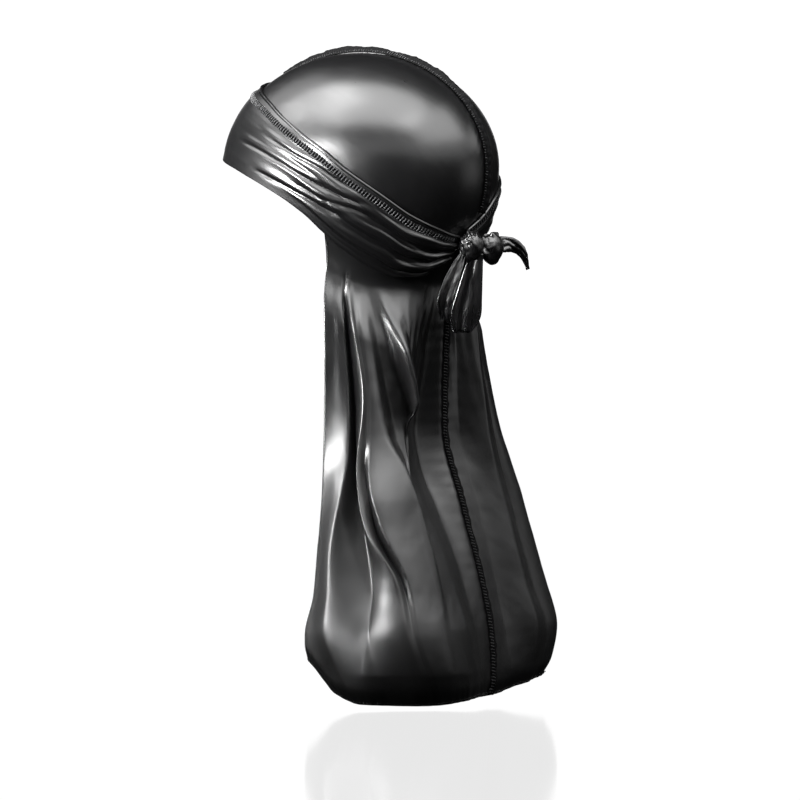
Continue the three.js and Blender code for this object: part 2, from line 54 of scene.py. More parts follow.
# Sizes are in millimetres, heights from the head's widest level, as in the part.
# The part's origin is at the top of the head, HEAD["rise"] above that level.
MM = 0.001
SIDES = {"left": 1, "right": -1}
HEAD = dict(front=95, back=98, width=78, rise=77, drop=92, neck_length=64, neck_width=60)
SATIN_THICK = 0.55
BAND_THICK = 0.9
STRAP_THICK = 0.8
PANEL_OUT = 0.5
BAND_OUT = 2.1
SEAM_HALF_GAP = 0.08
CROWN_EDGE_SHARE = 0.55
TAIL_FRONT_ANGLE = 100
BAND_ENDS = (-186.0, 170.0)
CROWN_JOIN = dict(start=165, length=15)
BAND_GATHER = dict(start=84, length=60)
FAR_SIDE_FADE = dict(start=110, length=30)
BAND = [
    ("angle", "left_top", "left_bottom", "right_top", "right_bottom"),
    (0, 55, 8, 55, 8),
    (26, 52.6, 5, 52.6, 5),
    (48, 48, 0.5, 48, 0.5),
    (64, 42, -6.5, 42, -6.5),
    (80, 31, -17.5, 32, -17.5),
    (92, 20, -30, 22, -29),
    (100, 12, -42, 15, -39),
    (109, 0, -53.5, 7, -48),
    (124, -17, -66, 0, -56),
    (140, -33, -72.5, -6, -61),
    (156, -42, -72, -14, -62),
    (165, -45.5, -66, -21, -62),
    (174, -47, -61, -31, -61),
    (180, -47, -59, -37, -60),
    (188, -47, -59, -45, -59),
]
# The dull tape under the band's stitches: raw cloth, as a seam shows between its threads, made dark to stand
# as painted shade between the stitches. across: 0 at the band's top edge, 1 at its bottom.
SEAM_SHADE_TAPE = dict(across=0.095, half=0.038, out=0.4, thick=0.3)
# Pleats that run along the band. across: 0 at its top edge, 1 at its bottom.
PLEATS = [
    ("across", "brow", "temple", "ear", "nape"),
    (0, 0, 0, 0, 0),
    (0.08, 0.2, 0.2, 0.2, 0.3),
    (0.16, 0.3, 0.3, 0.1, -0.3),
    (0.22, 0.3, 0.3, 0.5, 1.6),
    (0.28, 0.3, 0.3, 1.3, 2.6),
    (0.34, 0.3, 0.4, 1.0, 1.2),
    (0.4, 0.3, 0.4, 0.1, 0.1),
    (0.46, 0.3, 0.3, 0.4, 1.0),
    (0.52, 0.3, 0.4, 1.4, 2.8),
    (0.58, 0.4, 0.6, 1.8, 2.2),
    (0.64, 0.4, 0.5, 0.6, -0.2),
    (0.7, 0.4, 0.4, 0.2, 0.5),
    (0.77, 0.4, 0.5, 1.2, 2.4),
    (0.84, 0.5, 0.7, 1.5, 1.6),
    (0.9, 0.5, 0.6, 0.3, -0.4),
    (1.0, 0.9, 0.8, 0.8, 0.8),
]
PLEAT_PLACES = ((0, "brow"), (25, "brow"), (70, "temple"), (104, "ear"), (150, "nape"), (190, "nape"))
# The raised seams. Shares run from the brow (0) to the nape (1), or down the tail.
PIPING = dict(above=0.9, out=2.0, radius=1.15, cloth_radius=1.2)
CROWN_RIDGE = dict(shares=(0.135, 0.918), foot=0.7, height=4.0, thick=1.3, twist_at=0.47, twist_half=0.02)
TAIL_RIDGE = dict(shares=(0.06, 0.998), foot=-0.6, height=4.4, thick=1.1)
PANEL_SHARES = (0.012, 0.988)
PANEL_WIDTH = 130
SEAM_ARC = 330
TAIL_ARC = 300
# Puckers: how far they reach from a seam and the length of one, and how high they stand.
PUCKERS = dict(crown=(7, 7.5), band=(34, 8.5), seam=(8, 9), hem=(6, 8))
PUCKER_HEIGHTS = dict(crown=0.16, band=0.7, seam=0.1, hem=0.3)

# One half of the tail, cut level at each height.
TAIL = [
    ("height", "seam_y", "lobe_x", "lobe_y", "side_x", "side_y", "edge_x", "edge_y"),
    (-60, 76, 36, 65, 60, 36, 68, 13),
    (-85, 70, 36, 69, 62, 41, 73, 16),
    (-120, 66, 38, 72, 65, 43, 77, 19),
    (-175, 65, 44, 80, 72, 48, 82, 22),
    (-230, 80, 54, 90, 90, 59, 89, 24),
    (-285, 96, 63, 102, 102, 68, 98, 24),
    (-315, 102, 69, 108, 108, 70, 103, 20),
    (-345, 104, 66, 104, 104, 66, 101, 20),
    (-370, 104, 58, 98, 94, 62, 95, 24),
]
# Folds of the tail: where each lies between the front edge (0) and the seam (1)
# at each of FOLD_HEIGHTS, and how far it stands out there.
FOLD_HEIGHTS = (-70, -110, -175, -215, -245, -275, -305, -340)
FLAT_FOLD = (0,) * 8
AT_EDGE = (0,) * 8
AT_SEAM = (1,) * 8
FOLDS = {
    "left": {
        "front_ridge": ((0.14, 0.113, 0.14, 0.145, 0.117, 0.09, 0.105, 0.25), (0, 0, 1, 4, 5, 5, 5, 5)),
        "pocket": ((0.157, 0.135, 0.165, 0.172, 0.176, 0.24, 0.3, 0.38), (-3, -5, -8, -11, -14, -13, -7, 2)),
        "side_ridge": ((0.175, 0.175, 0.24, 0.208, 0.268, 0.405, 0.448, 0.52), (3, 4, 6, 5, 4, 4, 5, 9)),
        "slit": ((0.2, 0.2, 0.262, 0.245, 0.31, 0.43, 0.47, 0.54), (1, 2, 4, -2, -5, -1, 3, 9)),
        "thin_ridge": ((0.235, 0.23, 0.285, 0.275, 0.345, 0.45, 0.49, 0.56), (1, 2, 4, 4, 3, 3, 4, 10)),
        "wide_valley": ((0.29, 0.37, 0.5, 0.5, 0.52, 0.56, 0.6, 0.65), (-2, -4, -6, -3, -2, 0, 3, 11)),
        "rear_ridge": ((0.38, 0.48, 0.6, 0.62, 0.64, 0.66, 0.7, 0.74), (-1, -3, -6, -3, -2, 0, 3, 11)),
        "rear_foot": ((0.46, 0.57, 0.68, 0.72, 0.74, 0.76, 0.78, 0.82), (-3, -4, -6, -3, -2, 0, 3, 8)),
        "seam_valley": ((0.7, 0.78, 0.85, 0.88, 0.89, 0.9, 0.9, 0.92), (-3, -4, -5, -4, -3, -3, -2, 3)),
    },
    "right": {
        "front_ridge": ((0.09, 0.1, 0.1, 0.1, 0.1, 0.1, 0.1, 0.1), (3, 4, 5, 5, 5, 5, 4, 2)),
        "front_valley": ((0.18, 0.19, 0.19, 0.19, 0.2, 0.2, 0.2, 0.2), (-4, -5, -5, -5, -6, -6, -4, -2)),
        "side_ridge": ((0.28, 0.29, 0.29, 0.3, 0.3, 0.31, 0.31, 0.31), (4, 5, 5, 6, 6, 6, 5, 3)),
        "side_valley": ((0.38, 0.38, 0.39, 0.39, 0.4, 0.4, 0.41, 0.41), (-3, -4, -4, -5, -5, -5, -3, -1)),
        "rear_ridge": ((0.48, 0.48, 0.49, 0.49, 0.5, 0.5, 0.5, 0.5), (2, 2, 2, 3, 3, 3, 3, 1)),
        "rear_valley": ((0.6, 0.6, 0.6, 0.61, 0.61, 0.62, 0.62, 0.63), (-2, -2, -2, -2, -2, -2, -1, 0)),
        "low_ridge": ((0.7, 0.7, 0.7, 0.71, 0.71, 0.72, 0.72, 0.72), (2, 3, 3, 3, 3, 3, 4, 3)),
        "low_pocket": ((0.87, 0.87, 0.87, 0.87, 0.87, 0.87, 0.87, 0.84), (-1, -2, -2, -2, -2, -3, -4, -1)),
    },
}
# The hollow behind the front folds of the left panel, from the share "front" to the seam,
# and how much of the width its two sides take.
HOLLOW_SIDES = dict(front=0.055, seam=0.12)
HOLLOW = [
    ("height", "front", "depth"),
    (-70, 0.27, 0),
    (-110, 0.29, 3.5),
    (-150, 0.32, 8.5),
    (-180, 0.35, 12),
    (-205, 0.46, 12),
    (-235, 0.55, 8),
    (-270, 0.6, 3),
    (-310, 0.6, 0),
]
# The bright bar that swells out of the hollow and ends in a blunt nose.
BAR = [
    ("height", "share", "half", "out"),
    (-60, 0.35, 0.05, 2),
    (-85, 0.4, 0.055, 3.5),
    (-110, 0.47, 0.06, 6),
    (-140, 0.54, 0.06, 11),
    (-158, 0.58, 0.055, 11.5),
    (-172, 0.6, 0.05, 3),
    (-182, 0.6, 0.05, 0),
]
HEM = [
    ("share", "left", "right"),
    (0, -331, -320),
    (0.06, -341, -330),
    (0.14, -354, -339),
    (0.26, -360, -344),
    (0.5, -361, -347),
    (0.75, -359, -352),
    (0.9, -358, -357),
    (1, -358, -358),
]
HEM_TUCK = dict(depth=3, length=14)
FLARE = dict(start=2, length=50, folds_length=42, hidden=0.04, crowding=1.2, tuck_gap=1)

# The knot, and the loop pushed to its side.
BUNCH_STEPS = (80, 120)
BUNCH_LENGTH = 0.06
KNOT = dict(centre=(8, 93.5, -53), radii=(9.5, 8.5, 10.5), pleats=5, depth=0.1)
SIDE_LOOP = dict(centre=(-5, 101.5, -54), radii=(10, 7.5, 10.5), pleats=3, depth=0.12)
# Stations of the loops and the strap ends: centre, direction across, half width, curl.
STRAP_CREASE = 0.35
STRAP_COLUMNS = ("x", "y", "z", "across_x", "across_y", "across_z", "half", "curl")
HANGING_END = [
    (15, 91, -58, 0.75, -0.6, 0.2, 2.2, 0.4),
    (20, 89.5, -66, 0.75, -0.6, 0.15, 4.0, 0.8),
    (26, 87.5, -78, 0.7, -0.65, 0.2, 5.2, 1.4),
    (29.5, 85.5, -90, 0.65, -0.7, 0.2, 5.4, 1.6),
    (29, 84.5, -97, 0.65, -0.7, 0.3, 4.4, 1.2),
    (27.5, 84, -101.5, 0.65, -0.7, 0.4, 3.2, 0.6),
]
HANGING_LOOP = [
    (9, 98, -58, 0.53, -0.85, 0, 4.5, 0.2),
    (10, 96, -70, 0.53, -0.85, 0, 6.5, 0.5),
    (11, 93.5, -86, 0.52, -0.86, 0.05, 8.8, 0.9),
    (11.5, 91.5, -98, 0.52, -0.86, 0.1, 10.2, 1.2),
    (11.5, 89, -109.5, 0.55, -0.85, 0.1, 6, 0.8),
    (10, 86, -110.5, 0.7, -0.7, 0.05, 5, 1),
    (9, 83.5, -98, 0.8, -0.6, 0, 7, 0.5),
    (9, 83, -83, 0.85, -0.5, 0, 6.5, 0.5),
    (8.5, 85.5, -70, 0.85, -0.5, 0, 5, 0.5),
    (8, 89, -60, 0.8, -0.5, 0, 3.5, 0.5),
]
SIDE_END = [
    (-12, 103, -52, 0.1, -0.3, 0.95, 5.8, 1),
    (-17, 106, -51.5, 0.1, -0.4, 0.9, 5.6, 1.2),
    (-21.5, 110.5, -53.5, 0.2, 0.2, 0.95, 5.0, 1.2),
    (-24.5, 115, -60, 0.2, 0.75, 0.6, 3.6, 0.8),
    (-26, 117.5, -69, 0.2, 0.9, 0.3, 1.0, 0.2),
]


# Curves through short tables


def slopes_through(xs, ys):
    """The slope at each point of a table, such that a curve never overshoots its points."""
    rise = np.diff(ys, axis=0) / np.diff(xs, axis=0)
    product = rise[:-1] * rise[1:]
    together = product > 0
    middle = np.where(together, 2 * product / np.where(together, rise[:-1] + rise[1:], 1), 0)
    return np.concatenate([rise[:1], middle, rise[-1:]])


def cubic(t, step, start, start_slope, end, end_slope):
    return (
        (2 * t**3 - 3 * t**2 + 1) * start
        + (t**3 - 2 * t**2 + t) * step * start_slope
        + (3 * t**2 - 2 * t**3) * end
        + (t**3 - t**2) * step * end_slope
    )


def through(xs, ys):
    """A smooth curve through points."""
    xs, ys = np.array(xs, float), np.array(ys, float)
    if xs[0] > xs[-1]:
        xs, ys = xs[::-1], ys[::-1]
    slopes = slopes_through(xs, ys)

    def at(x):
        x = np.clip(x, xs[0], xs[-1])
        i = np.clip(np.searchsorted(xs, x, side="right") - 1, 0, len(xs) - 2)
        step = xs[i + 1] - xs[i]
        return cubic((x - xs[i]) / step, step, ys[i], slopes[i], ys[i + 1], slopes[i + 1])

    return at


def row_through(keys, values, at):
    """The same curve as through(), where each point has its own keys and values."""
    slopes = slopes_through(keys, values)
    out = np.zeros_like(at)
    for i in range(len(keys) - 1):
        inside = (at >= keys[i]) & (at <= keys[i + 1])
        step = keys[i + 1] - keys[i]
        t = np.clip((at - keys[i]) / step, 0, 1)
        out = np.where(inside, cubic(t, step, values[i], slopes[i], values[i + 1], slopes[i + 1]), out)
    return out


def curves_of(table):
    """A curve for each column of a table, over its first column. The table's first row is its heading."""
    numbers = np.array(table[1:], float)
    return {name: through(numbers[:, 0], numbers[:, i]) for i, name in enumerate(table[0]) if i}


def smooth(x):
    t = np.clip(x, 0, 1)
    return t * t * (3 - 2 * t)


def ramp(x, start, length):
    """From 0 at the start to 1 a length further on."""
    return smooth((x - start) / length)


def bell(x):
    return np.exp(-(x**2))


def mix(a, b, t):
    return a + (b - a) * t


def grid(first, second):
    return np.meshgrid(first, second, indexing="ij")


def ripple(along, wave, drift=0):
    """Waves of a length along the cloth."""
    return np.sin(along * 2 * math.pi / wave + drift)


def puckers(where, away, along, drift):
    """Ripples along a seam that fade with the distance from it."""
    reach, wave = PUCKERS[where]
    return PUCKER_HEIGHTS[where] * np.exp(-away / reach) * ripple(along, wave, drift)


BAND_EDGES = curves_of(BAND)
TAIL_CUT = curves_of(TAIL)
HEM_LINE = curves_of(HEM)
HOLLOW_LINE = curves_of(HOLLOW)
BAR_LINE = curves_of(BAR)
PLEAT_LINE = curves_of(PLEATS)


def cloth_noise(u, v, seed):
    """Smooth noise in about -1 to 1, with one lattice cell for each unit of u and v."""
    size = 64
    lattice = np.random.default_rng(seed).uniform(-1, 1, (size, size))
    iu, iv = np.floor(u).astype(int), np.floor(v).astype(int)
    fu, fv = smooth(u - iu), smooth(v - iv)

    def corner(right, up):
        return lattice[(iu + right) % size, (iv + up) % size]

    return mix(mix(corner(0, 0), corner(1, 0), fu), mix(corner(0, 1), corner(1, 1), fu), fv)


def fine_folds(u, v, seed, octaves=3):
    """Noise with finer and weaker layers on top."""
    total = 0
    for octave in range(octaves):
        scale = 2**octave
        total = total + cloth_noise(u * scale, v * scale, seed + octave) / scale
    return total


# The head's form


def unit(v):
    return v / np.linalg.norm(v, axis=-1, keepdims=True)


def ring(height):
    """The head's half lengths to the front and the back and its half width, at a height."""
    share = height / np.where(height >= 0, HEAD["rise"], HEAD["drop"])
    bow = np.sqrt(np.maximum(0, 1 - share**2))
    neck = np.where(height >= 0, bow, 1)

    def join(head, throat):
        return (head**8 + throat**8) ** (1 / 8)

    front = join(HEAD["front"] * bow, HEAD["neck_length"] * neck)
    back = join(HEAD["back"] * bow, HEAD["neck_length"] * neck)
    return front, back, join(HEAD["width"] * bow, HEAD["neck_width"] * neck)


def head_field(p):
    """Below 0 inside the head, above 0 outside it."""
    x, y, z = p[..., 0], p[..., 1], p[..., 2]
    front, back, width = ring(np.minimum(z, 0))
    length = np.where(y < 0, front, back)
    return np.sqrt((x / width) ** 2 + (y / length) ** 2 + (np.maximum(z, 0) / HEAD["rise"]) ** 2) - 1


def head_normal(p):
    steps = 0.05 * np.eye(3)
    return unit(np.stack([head_field(p + d) - head_field(p - d) for d in steps], -1))


def moved_out(p, out):
    return p + head_normal(p) * np.asarray(out)[..., None]


def on_head(angle, height, out):
    """The point of the head at an angle round it, moved out of its surface."""
    front, back, width = ring(height)
    turn = np.radians(angle)
    length = np.where(np.cos(turn) > 0, front, back)
    p = np.stack(np.broadcast_arrays(np.sin(turn) * width, -np.cos(turn) * length, height), -1)
    return moved_out(p, out)


RAY_HALVINGS = 36


def along_ray(direction, out):
    """The point of the head that a ray from its middle meets, moved out of it."""
    near, far = np.full(direction.shape[:-1], 20.0), np.full(direction.shape[:-1], 200.0)
    for _ in range(RAY_HALVINGS):
        middle = (near + far) / 2
        inside = head_field(direction * middle[..., None]) < 0
        near, far = np.where(inside, middle, near), np.where(inside, far, middle)
    return moved_out(direction * near[..., None], out)


# Cloth walls and other pieces


def lengths_along(p, axis):
    """How far each point of a grid lies along the cloth, in one of its two directions."""
    step = np.linalg.norm(np.diff(p, axis=axis), axis=-1)
    lead = np.zeros_like(np.take(p[..., 0], [0], axis=axis))
    return np.concatenate([lead, np.cumsum(step, axis=axis)], axis=axis)


def in_part_frame(p):
    """Points in mm over the head's widest level, as metres in the part's frame."""
    return (p - np.array([0, 0, HEAD["rise"]])) * MM


def in_scene(name, data):
    thing = bpy.data.objects.new(name, data)
    bpy.context.scene.collection.objects.link(thing)
    return thing


def cloth_piece(name, points, faces, flat, finish):
    """A smooth closed piece from points in mm, with a UV map that says where the cloth's points lie flat."""
    mesh = bpy.data.meshes.new(name)
    mesh.from_pydata(in_part_frame(points), [], faces)
    layer = mesh.uv_layers.new(name="cloth")
    layer.data.foreach_set("uv", flat[read(mesh.loops, "vertex_index")].ravel())
    mesh.shade_smooth()
    mesh.materials.append(finish)
    turn_outwards(mesh)
    mesh.update()
    return in_scene(name, mesh)


def wall(name, middle, thickness, finish):
    """A closed wall of cloth whose middle is a grid of points."""
    nu, nv = middle.shape[:2]
    normals = unit(np.cross(np.gradient(middle, axis=0), np.gradient(middle, axis=1)))
    outer, inner = middle + normals * thickness / 2, middle - normals * thickness / 2
    points = np.concatenate([outer.reshape(-1, 3), inner.reshape(-1, 3)])
    i, j = grid(np.arange(nu - 1), np.arange(nv - 1))
    a = (i * nv + j).ravel()
    top = np.stack([a, a + nv, a + nv + 1, a + 1], -1)
    under = top[:, ::-1] + nu * nv
    sides = [
        np.arange(nu) * nv,
        (nu - 1) * nv + np.arange(1, nv),
        np.arange(nu - 2, -1, -1) * nv + nv - 1,
        np.arange(nv - 2, 0, -1),
    ]
    edge = np.concatenate(sides)
    ahead = np.roll(edge, -1)
    rim = np.stack([ahead, edge, edge + nu * nv, ahead + nu * nv], -1)
    faces = np.concatenate([top, under, rim])
    u, v = lengths_along(middle, 0), lengths_along(middle, 1)
    flat = np.stack([v - v.mean(axis=1, keepdims=True), u], -1)
    flat = np.concatenate([flat.reshape(-1, 2)] * 2) * MM
    return cloth_piece(name, points, faces.tolist(), flat, finish)


def read(items, key, width=1, kind=np.int32):
    """One property of all items of a mesh, a row for each item."""
    values = np.empty(len(items) * width, kind)
    items.foreach_get(key, values)
    return values.reshape(-1, width)


def turn_outwards(mesh):
    mesh.calc_loop_triangles()
    places = read(mesh.vertices, "co", 3, float)
    a, b, c = places[read(mesh.loop_triangles, "vertices", 3)].transpose(1, 0, 2)
    if np.sum(a * np.cross(b, c)) < 0:
        mesh.flip_normals()


def dress(piece, slot, *nodes):
    """The piece rides on the one body and stands for the part's nodes. Its slot is not used."""
    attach(piece, "root")
    if nodes:
        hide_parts(*nodes)
    return piece


# Materials


class Sum:
    """A socket of a material's tree that can be added, subtracted and multiplied as a number."""

    def __init__(self, tree, socket):
        self.tree, self.socket = tree, socket

    def _math(self, operation, *values):
        return self.tree.add("ShaderNodeMath", dict(enumerate(values)), operation=operation)

    def __add__(self, other):
        return self._math("ADD", self, other)

    def __radd__(self, other):
        return self._math("ADD", other, self)

    def __sub__(self, other):
        return self._math("SUBTRACT", self, other)

    def __rsub__(self, other):
        return self._math("SUBTRACT", other, self)

    def __mul__(self, other):
        return self._math("MULTIPLY", self, other)

    def __rmul__(self, other):
        return self._math("MULTIPLY", other, self)

    def wave(self):
        """One wave for each unit."""
        return self._math("SINE", self * 2 * math.pi)

    def clamped(self):
        return self.tree.add("ShaderNodeClamp", {"Value": self})


def feed(tree, node, inputs):
    """Links the sockets among the inputs to the node, and sets the others as values."""
    for key, value in dict(inputs).items():
        if isinstance(value, Sum):
            value = value.socket
        if isinstance(value, bpy.types.NodeSocket):
            tree.links.new(value, node.inputs[key])
        else:
            node.inputs[key].default_value = value


def add_node(tree, kind, inputs=(), **settings):
    node = tree.nodes.new(kind)
    for key, value in settings.items():
        setattr(node, key, value)
    feed(tree, node, inputs)
    return node


class Finish:
    """A material's tree of nodes."""

    def __init__(self, name):
        self.material = bpy.data.materials.new(name)
        self.material.use_nodes = True
        self.nodes, self.links = self.material.node_tree.nodes, self.material.node_tree.links
        self.shader = next(n for n in self.nodes if n.type == "BSDF_PRINCIPLED")

    def add(self, kind, inputs=(), out=0, **settings):
        return Sum(self, add_node(self, kind, inputs, **settings).outputs[out])

    def shade(self, **inputs):
        feed(self, self.shader, {key.replace("_", " "): value for key, value in inputs.items()})

    def cloth_uv(self, across=1, along=1):
        uv = self.add("ShaderNodeUVMap", uv_map="cloth")
        return self.add("ShaderNodeMapping", {"Vector": uv, "Scale": (across, along, 1)})

    def place(self):
        return self.add("ShaderNodeTexCoord", out="Object")

    def noise(self, vector, scale, detail=3, roughness=0.55):
        values = {"Vector": vector, "Scale": scale, "Detail": detail, "Roughness": roughness}
        return self.add("ShaderNodeTexNoise", values, out="Fac")

    def axis(self, vector, name):
        return self.add("ShaderNodeSeparateXYZ", {"Vector": vector}, out=name)

    def blend(self, share, a, b):
        colours = {"Factor": share, 6: (*a, 1), 7: (*b, 1)}
        return self.add("ShaderNodeMix", colours, out=2, data_type="RGBA")

    def bump(self, height, distance, strength, under=None):
        inputs = {"Height": height, "Distance": distance, "Strength": strength}
        if under is not None:
            inputs["Normal"] = under
        return self.add("ShaderNodeBump", inputs)


SATIN_BLACK = (0.002, 0.002, 0.0022)
SATIN_FADED = (0.0035, 0.0035, 0.0038)
THREAD_BLACK = (0.01, 0.01, 0.0105)
THREAD_WORN = (0.04, 0.04, 0.042)
WEAVE_PER_METRE = 2400
SLUBS_PER_METRE = (420, 60)
CREASES_PER_METRE = (70, 26)
RUB_PER_METRE = 28
SLUB_DULLING = 0.08
RUB_DULLING = 0.06
# Heights in metres between which limp cloth goes from taut to slack.
TAUT_HEIGHT = -0.2375
SLACK_HEIGHT = -0.3


def satin(name, roughness=0.28, anisotropy=0.3, grain=1.0, limp=0.0):
    """Polyester satin: long floats along the cloth, slubs and fine creases.

    Limp satin is duller low down, where it hangs slack.
    """
    tree = Finish(name)
    uv = tree.cloth_uv()
    across, along = tree.axis(uv, "X"), tree.axis(uv, "Y")
    floats = (across * WEAVE_PER_METRE).wave()
    steps = ((along * 0.4 + across * 0.2) * WEAVE_PER_METRE).wave()
    slubs = tree.noise(tree.cloth_uv(*SLUBS_PER_METRE), 1.0, detail=2)
    creases = tree.noise(tree.cloth_uv(*CREASES_PER_METRE), 1.0, detail=5, roughness=0.6)
    rub = tree.noise(tree.place(), RUB_PER_METRE, detail=4)
    fall = 1 / (SLACK_HEIGHT - TAUT_HEIGHT)
    slack = (tree.axis(tree.place(), "Z") * fall - TAUT_HEIGHT * fall).clamped()
    weave = tree.bump(floats * 0.6 + steps * 0.4, 0.00001, 0.3 * grain)
    threads = tree.bump(slubs, 0.00005, 0.5 * grain, under=weave)
    pressed = tree.bump(creases, 0.0003, 0.35 * grain, under=threads)
    smoothest = roughness - (SLUB_DULLING + RUB_DULLING) / 2
    dulling = slubs * SLUB_DULLING + rub * RUB_DULLING + slack * limp
    tree.shade(
        Base_Color=tree.blend(rub, SATIN_BLACK, SATIN_FADED),
        Roughness=(dulling + smoothest).clamped(),
        Normal=pressed,
        Specular_IOR_Level=0.9,
        Anisotropic=anisotropy,
    )
    return tree.material


def overlock_thread(name):
    """Twisted polyester thread."""
    tree = Finish(name)
    fluff = tree.noise(tree.place(), 900.0, detail=2)
    worn = tree.noise(tree.place(), 60.0)
    tree.shade(
        Base_Color=tree.blend(worn, THREAD_BLACK, THREAD_WORN),
        Roughness=(fluff * 0.2 + 0.42).clamped(),
        Normal=tree.bump(fluff, 0.0001, 0.6),
        Sheen_Weight=0.2,
    )
    return tree.material


def raw_cloth(name):
    """The dull wrong side of the satin, at a seam."""
    tree = Finish(name)
    weave = (tree.axis(tree.cloth_uv(), "X") * WEAVE_PER_METRE).wave()
    mottle = tree.noise(tree.place(), 300.0)
    tree.shade(
        Base_Color=tree.blend(mottle, SATIN_BLACK, SATIN_FADED),
        Roughness=(mottle * 0.1 + 0.75).clamped(),
        Normal=tree.bump(weave, 0.00002, 0.4),
        Specular_IOR_Level=0.1,
    )
    return tree.material


SATIN = satin("black_satin")
STRETCHED_SATIN = satin("stretched_satin", roughness=0.3, anisotropy=0.15, grain=0.7)
GATHERED_SATIN = satin("gathered_satin", roughness=0.31)
HANGING_SATIN = satin("hanging_satin", roughness=0.31, grain=0.6, limp=0.12)
THREAD = overlock_thread("black_thread")
RAW_CLOTH = raw_cloth("raw_cloth")


# The crown


def band_edge(side, which, angle):
    return BAND_EDGES[f"{side}_{which}"](angle)


def edge_at(which, turn):
    """The height of the band's top or bottom edge. Turns above 0 are on the left."""
    angle = np.abs(turn)
    return np.where(turn >= 0, band_edge("left", which, angle), band_edge("right", which, angle))


def crown_edge(side, angle):
    """The crown's lower edge, under the band. Both sides meet at one point of the nape."""

    def under(key):
        return mix(band_edge(key, "top", angle), band_edge(key, "bottom", angle), CROWN_EDGE_SHARE)

    return mix(under(side), under("left"), ramp(angle, **CROWN_JOIN))


BROW_POINT = on_head(0.0, np.array(crown_edge("left", 0.0)), 0.0)
NAPE_POINT = on_head(180.0, np.array(crown_edge("left", 180.0)), 0.0)
SEAM_START = math.atan2(BROW_POINT[2], -BROW_POINT[1])
SEAM_END = math.pi - math.atan2(NAPE_POINT[2], NAPE_POINT[1])


def seam_direction(share):
    turn = mix(SEAM_START, SEAM_END, share)
    return np.stack([np.zeros_like(turn), -np.cos(turn), np.sin(turn)], -1)


def crown_panel(side):
    along, across = grid(np.linspace(0, 1, 180), np.linspace(0, 1, 96))
    share = mix(*PANEL_SHARES, along)
    upper = seam_direction(share)
    angle = 180 * share
    lower = unit(on_head(SIDES[side] * angle, crown_edge(side, angle), 0.0))
    spread = np.arccos(np.clip(np.sum(upper * lower, -1), -1, 1))
    a = np.sin((1 - across) * spread) / np.sin(spread)
    b = np.sin(across * spread) / np.sin(spread)
    direction = unit(upper * a[..., None] + lower * b[..., None])
    arc = share * SEAM_ARC
    pucker = puckers("crown", across * PANEL_WIDTH, arc, 2 * cloth_noise(arc / 12, along, 3))
    pull = ramp(across, 0.35, 0.5) * fine_folds(arc / 26, across * 5, 8)
    points = along_ray(direction, PANEL_OUT + pucker + 0.35 * pull)
    points[..., 0] += SIDES[side] * SEAM_HALF_GAP * (1 - across)
    return wall(f"{side}_crown_satin", points, SATIN_THICK, STRETCHED_SATIN)


def crown_ridge():
    """The turned-up seam allowance, a low fin that leans to the wearer's right."""
    share, rise = grid(np.linspace(*CROWN_RIDGE["shares"], 360), np.linspace(0, 1, 7))
    twist = bell((share - CROWN_RIDGE["twist_at"]) / CROWN_RIDGE["twist_half"])
    height = (CROWN_RIDGE["height"] + 0.5 * fine_folds(share * 40, rise * 0, 21)) * (1 - 0.35 * twist)
    points = along_ray(seam_direction(share), PANEL_OUT + CROWN_RIDGE["foot"] + rise * height)
    lean = 0.45 * rise * rise * height + 0.25 * rise * ripple(share * SEAM_ARC, 5.2)
    points[..., 0] -= lean + 1.6 * twist * rise
    return wall("crown_seam_ridge", points, CROWN_RIDGE["thick"], RAW_CLOTH)


# The brow band


def pleat(angle, across):
    """How far the pleats stand out, from one place round the head to the next."""
    heights = [PLEAT_LINE[place](across) for _, place in PLEAT_PLACES]
    angles = [at for at, _ in PLEAT_PLACES]
    out = 0
    for i in range(len(angles) - 1):
        low, high = angles[i], angles[i + 1]
        inside = (angle >= low) & (angle <= high)
        out = np.where(inside, mix(heights[i], heights[i + 1], ramp(angle, low, high - low)), out)
    return out


def crease(angle, across, path, depth, width):
    """A valley along a short path over the band, fading at both its ends."""
    angles, places = zip(*path)
    line = through(angles, places)(angle)
    fade = ramp(angle, angles[0], 14) * smooth((angles[-1] - angle) / 10)
    off = (across - line) / width
    return fade * depth * (0.5 * bell((off + 2) / 1.4) - bell(off))


# Each crease: its path as angles and places across the band, its depth and its width.
CREASES = [
    (((50, 0.6), (69, 0.56), (91, 0.5), (111, 0.32), (122, 0.2)), 1.3, 0.035),
    (((66, 0.34), (84, 0.3), (104, 0.2), (118, 0.12)), 0.9, 0.03),
    (((62, 0.86), (80, 0.82), (99, 0.7), (114, 0.5)), 1.2, 0.04),
    (((84, 0.7), (98, 0.6), (112, 0.42), (126, 0.3)), 1.0, 0.03),
]


def band_out(turn, across):
    """How far the band stands off the head, with its pleats and finer gathers."""
    angle = np.abs(turn)
    gather = ramp(angle, **BAND_GATHER)
    drift = (0.025 + 0.03 * gather) * fine_folds(turn / 38, across * 2.4, 31)
    pleats = pleat(angle, np.clip(across + drift * smooth(across / 0.2), 0, 1))
    pleats = pleats * (1 + 0.2 * cloth_noise(turn / 30, across * 4, 32))
    pleats = pleats * np.where(turn < 0, 1 - 0.7 * ramp(angle, **FAR_SIDE_FADE), 1)
    fine = np.sin((across + 1.6 * drift) * 2 * math.pi * 13 + 4 * cloth_noise(turn / 26, across * 3, 33))
    finer = fine_folds(turn / 20, across * 22, 35)
    soft = fine_folds(turn / 26 + across * 2.4, across * 3, 37, octaves=2)
    lines = sum(crease(angle, across, *row) for row in CREASES)
    middle = smooth(across / 0.1) * smooth((1 - across) / 0.06)
    detail = 0.18 * gather * fine + (0.02 + 0.2 * gather) * finer + 0.12 * (1 - gather) * soft
    return BAND_OUT + pleats + middle * (detail + lines)


